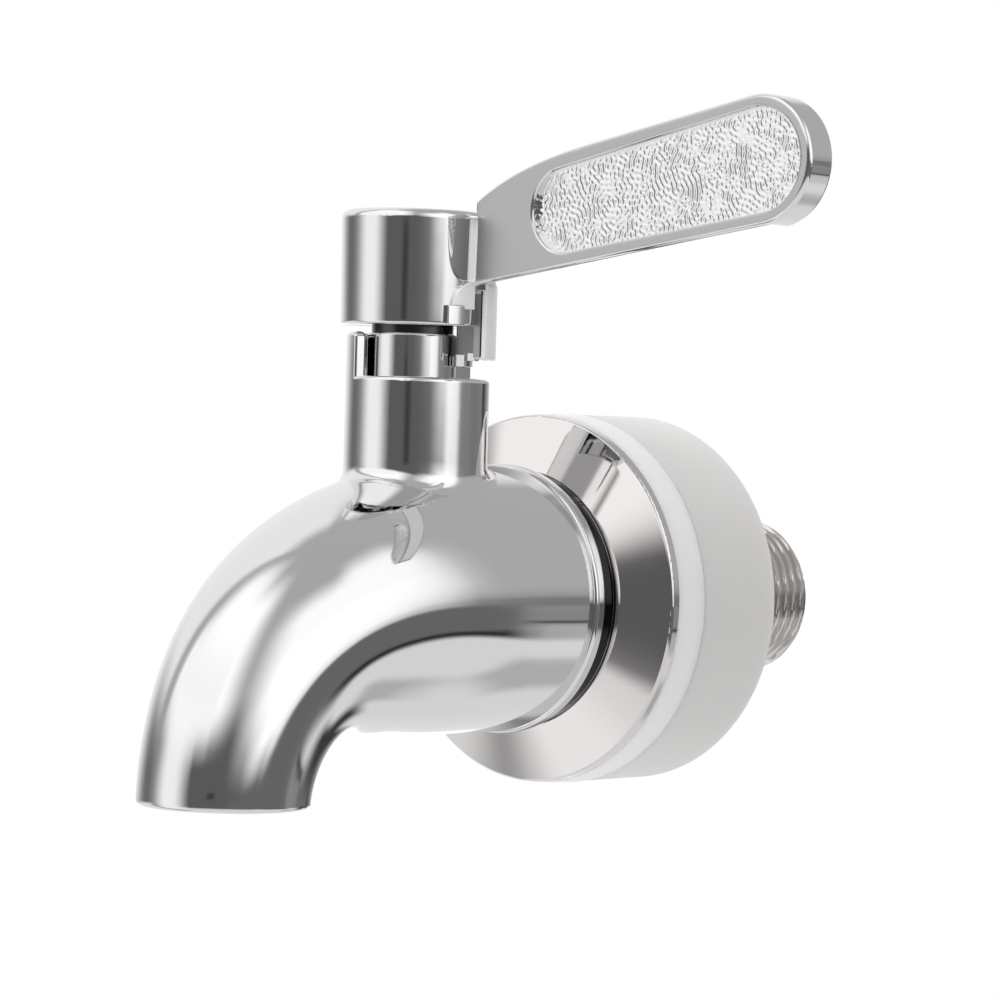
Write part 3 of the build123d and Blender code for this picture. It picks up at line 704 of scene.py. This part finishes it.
def addShank(setup):
    # Rows of the stub have no radius of their own: the thread gives it
    length = setup["end"] - setup["start"]
    rowCount = int(length / setup["rowStep"])
    stub = [(None, setup["start"] + length * step / rowCount) for step in range(rowCount + 1)]
    rows = [(p.x, p.y) for p in roundedProfile(setup["front"])] + stub + setup["rear"]

    def place(u, v):
        radius, y = rows[round(v * (len(rows) - 1))]
        if radius is None:
            radius = threadRadius(setup, y, u)
        return Vector((radius * cos(2 * pi * u), y, radius * sin(2 * pi * u)))

    return addSheet("threadedShank", setup["segments"], len(rows) - 1, place, steel)


shank = addShank(shankSetup)
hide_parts("threaded_shank")
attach(shank, "root")
print("shank modelled")


# Lever: the casting's own hub and paddle above the cut, a smooth side over the hub, and the stop tab's parts
leverSetup = {
    "axisY": -36.4, "cut": 31.0, "segments": 144,
    "boreRadius": 2.2, "footZ": 27.3, "footRadius": 7.2, "footRound": 0.35, "topRadius": 7.3843,
    "sideTo": 37.85, "sideProud": 0.006, "aboveFoot": (0.01, 0.1, 0.5), "sideRows": (30, 33, 36),
    "rootRound": 0.58, "rootEndRound": 0.3, "rootFrom": 31.6, "rootTo": 38.2, "rootEase": 0.4,
    "rootRows": (12, 40), "faceOffset": 0.5,
    "gussetRadius": 2.6, "gussetZ": 29.2, "gussetTurn": 4.0, "gussetReach": 7.75, "gussetLeast": 0.05,
}


def hubRadius(setup, z):
    # The hub's side leans out a little towards the top
    slope = (setup["topRadius"] - setup["footRadius"]) / (setup["sideTo"] - setup["footZ"])
    return setup["footRadius"] + slope * (z - setup["footZ"])


def addHubSide(setup):
    low, edgeRound = setup["footZ"], setup["footRound"]
    foot = low + edgeRound
    corners = [(setup["boreRadius"], low, 0), (setup["footRadius"], low, edgeRound)]
    for z in [foot + above for above in setup["aboveFoot"]] + [*setup["sideRows"], setup["sideTo"]]:
        corners.append((hubRadius(setup, z) + setup["sideProud"], z, 0))
    profile = roundedProfile(corners)

    def place(u, v):
        point = profile[round(v * (len(profile) - 1))]
        return Vector((point.x * cos(2 * pi * u), setup["axisY"] + point.x * sin(2 * pi * u), point.y))

    return addSheet("hubSide", setup["segments"], len(profile) - 1, place, chrome)


def addRootRound(setup):
    # Hollow round where the paddle's face runs out of the hub's side
    def place(u, v):
        z = setup["rootFrom"] + (setup["rootTo"] - setup["rootFrom"]) * v
        ease = min(1.0, min(z - setup["rootFrom"], setup["rootTo"] - z) / setup["rootEase"])
        least = setup["rootEndRound"]
        size = least + (setup["rootRound"] - least) * sqrt(max(0.0, ease))
        y = setup["faceOffset"] - size
        x = sqrt((hubRadius(setup, z) + size) ** 2 - y * y)
        first = atan2(-y, -x)
        turn = first + (pi / 2 - first) * u
        return Vector((x + size * cos(turn), setup["axisY"] + y + size * sin(turn), z))

    # Painted reflection: the round is painted pale white for the bright room it reflects
    return addSheet("rootRound", *setup["rootRows"], place, small["castSkinPaintedSheen"])


blockSetup = {"cuts": 11, "roundSteps": 4, "roundAbove": radians(40)}


def addArcBlock(name, angles, radii, heights, bevel, material):
    # Cube bent round the hub's axis, with rounded edges; its top may follow a curve
    bpy.ops.mesh.primitive_cube_add(size=1)
    piece = bpy.context.object
    piece.name = name
    bpy.ops.object.mode_set(mode="EDIT")
    bpy.ops.mesh.select_all(action="SELECT")
    bpy.ops.mesh.subdivide(number_cuts=blockSetup["cuts"])
    bpy.ops.object.mode_set(mode="OBJECT")
    low, top = heights
    for vertex in piece.data.vertices:
        across, out, up = (share + 0.5 for share in vertex.co)
        turn = radians(angles[0] + (angles[1] - angles[0]) * across)
        radius = radii[0] + (radii[1] - radii[0]) * out
        height = low + ((top(turn) if callable(top) else top) - low) * up
        vertex.co = Vector((radius * cos(turn), leverSetup["axisY"] + radius * sin(turn), height)) * mm
    bpy.ops.object.mode_set(mode="EDIT")
    bpy.ops.mesh.select_all(action="SELECT")
    bpy.ops.mesh.normals_make_consistent(inside=False)
    bpy.ops.object.mode_set(mode="OBJECT")
    rounder = piece.modifiers.new("rounder", "BEVEL")
    rounder.width = bevel * mm
    rounder.segments = blockSetup["roundSteps"]
    rounder.limit_method = "ANGLE"
    rounder.angle_limit = blockSetup["roundAbove"]
    bpy.ops.object.modifier_apply(modifier="rounder")
    bpy.ops.object.shade_smooth_by_angle(angle=meshSetup["smoothBelow"])
    piece.data.materials.append(material)
    return piece


def gussetTop(turn):
    # Quarter round that climbs from the lug to the paddle's underside
    aside = leverSetup["gussetReach"] * sin(turn - radians(leverSetup["gussetTurn"]))
    rise = sqrt(max(0.0, leverSetup["gussetRadius"] ** 2 - min(0.0, aside) ** 2))
    return leverSetup["gussetZ"] + max(leverSetup["gussetLeast"], rise)


# Stop tab, which hangs from the lever's root into the collar's window
tabBlocks = [
    # name, angles, radii, heights, edge round, material
    ("tabLug", (-20.8, -6.2), (5.2, 7.85), (27.3, 29.35), 0.28, chrome),
    # Gusset and plate are painted pale white, a painted reflection of the bright room
    ("tabGusset", (-16.2, 4.5), (5.2, 7.75), (29.0, gussetTop), 0.12, small["castSkinPaintedSheen"]),
    ("tabPlate", (12.7, 52.3), (7.0, 8.36), (24.15, 31.95), 0.32, small["castSkinPaintedSheen"]),
    ("tabPlateEnd", (12.4, 14.5), (7.05, 7.78), (24.3, 30.6), 0.08, small["satinChromePlate"]),
    # Strip, not a groove: near black, painted shade for the dark line beside the plate's end
    ("tabShadeStrip", (12.6, 14.5), (7.74, 7.94), (24.35, 30.9), 0.04, small["paintedShadeStrip"]),
    # Web: a darker grey, painted shade inside the collar's window
    ("tabWeb", (13.8, 52.0), (4.95, 7.2), (24.2, 27.6), 0.16, small["paintedShadeChrome"]),
    ("tabPeg", (12.9, 52.0), (4.95, 6.1), (23.35, 24.6), 0.30, chrome),
    ("tabBoss", (12.6, 20.0), (6.35, 7.25), (23.95, 24.75), 0.25, chrome),
]

leverParts = [copyAbove("lever_handle", "leverTop", leverSetup["cut"])]
leverParts += [addHubSide(leverSetup), addRootRound(leverSetup)]
leverParts += [addArcBlock(*block) for block in tabBlocks]
for piece in leverParts:
    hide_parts("lever_handle")
    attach(piece, "handle")
print("lever modelled")


# Grip panel: the wrinkled floor of the lever's recess, a maze of little ridges cast into the metal
gripSetup = {
    "seed": 7, "fieldLength": 36, "fieldWidth": 12, "fieldMargin": 1, "step": 0.07,
    "wavelength": 0.55, "spread": 0.36, "height": 0.064, "rounds": 6, "sharpen": 1.2,
    "tops": 0.10, "flatten": 1.3, "blur": 0.05,
    "rootS": 19.4, "rootRadius": 4.08, "tipS": 43.3, "tipRadius": 4.9, "fadeOut": 0.35,
    "faceY": 0.5, "depth": 0.80, "slope": 10.1, "baseZ": 35.2,
    "columns": 490, "rows": 140, "endShare": 0.06,
}


def wrinkles(setup):
    # Noise that is filtered to one spacing and sharpened again and again until it forms ridges
    wide = int(setup["fieldLength"] / setup["step"])
    tall = int(setup["fieldWidth"] / setup["step"])
    field = numpy.random.default_rng(setup["seed"]).standard_normal((tall, wide))
    across = numpy.fft.fftfreq(wide, setup["step"])[None, :]
    up = numpy.fft.fftfreq(tall, setup["step"])[:, None]
    distance = numpy.sqrt(across**2 + up**2) * setup["wavelength"]
    band = numpy.exp(-((distance - 1) / setup["spread"]) ** 2)
    for _ in range(setup["rounds"]):
        field = numpy.fft.ifft2(numpy.fft.fft2(field) * band).real
        field = numpy.tanh(field / field.std() * setup["sharpen"])
    field = numpy.tanh((field / field.std() + setup["tops"]) * setup["flatten"])
    soften = numpy.exp(-2 * (pi * setup["blur"]) ** 2 * (across**2 + up**2))
    return numpy.fft.ifft2(numpy.fft.fft2(field) * soften).real


def addGrip(setup):
    field = wrinkles(setup)
    tilt = radians(setup["slope"])
    low = setup["rootS"] - setup["rootRadius"]
    high = setup["tipS"] + setup["tipRadius"]
    span = setup["tipS"] - setup["rootS"]
    lean = (setup["tipRadius"] - setup["rootRadius"]) / span

    def halfWidth(s):
        # Half the outline's width at a distance along the panel
        if s < setup["rootS"] - setup["rootRadius"] * lean:
            width = sqrt(max(0.0, setup["rootRadius"] ** 2 - (s - setup["rootS"]) ** 2))
        elif s > setup["tipS"] - setup["tipRadius"] * lean:
            width = sqrt(max(0.0, setup["tipRadius"] ** 2 - (s - setup["tipS"]) ** 2))
        else:
            width = (setup["rootRadius"] + (s - setup["rootS"]) * lean) / sqrt(1 - lean**2)
        return width

    def place(u, v):
        # Columns lie closer together at the round ends, where the outline closes
        end = setup["endShare"]
        if u < end or u > 1 - end:
            s = (low + high) / 2 - (high - low) / 2 * cos(pi * u)
        else:
            edge = (1 - cos(pi * end)) / 2
            s = low + (high - low) * (edge + (1 - 2 * edge) * (u - end) / (1 - 2 * end))
        width = halfWidth(s)
        t = width * (2 * v - 1)
        row = (t + setup["fieldWidth"] / 2) / setup["step"]
        column = (s - low + setup["fieldMargin"]) / setup["step"]
        i, j = int(row), int(column)
        a, b = row - i, column - j
        height = ((field[i, j] * (1 - a) + field[i + 1, j] * a) * (1 - b)
                  + (field[i, j + 1] * (1 - a) + field[i + 1, j + 1] * a) * b)
        inside = min(width - abs(t), s - low, high - s)
        fade = min(1.0, max(0.0, inside / setup["fadeOut"]))
        y = setup["faceY"] + setup["depth"] - height * fade * setup["height"] / 2
        x = s * cos(tilt) - t * sin(tilt)
        z = setup["baseZ"] + s * sin(tilt) + t * cos(tilt)
        return Vector((x, leverSetup["axisY"] + y, z))

    return addSheet("gripPanel", setup["columns"], setup["rows"], place, chrome)


grip = addGrip(gripSetup)
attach(grip, "handle")
print("grip panel modelled")
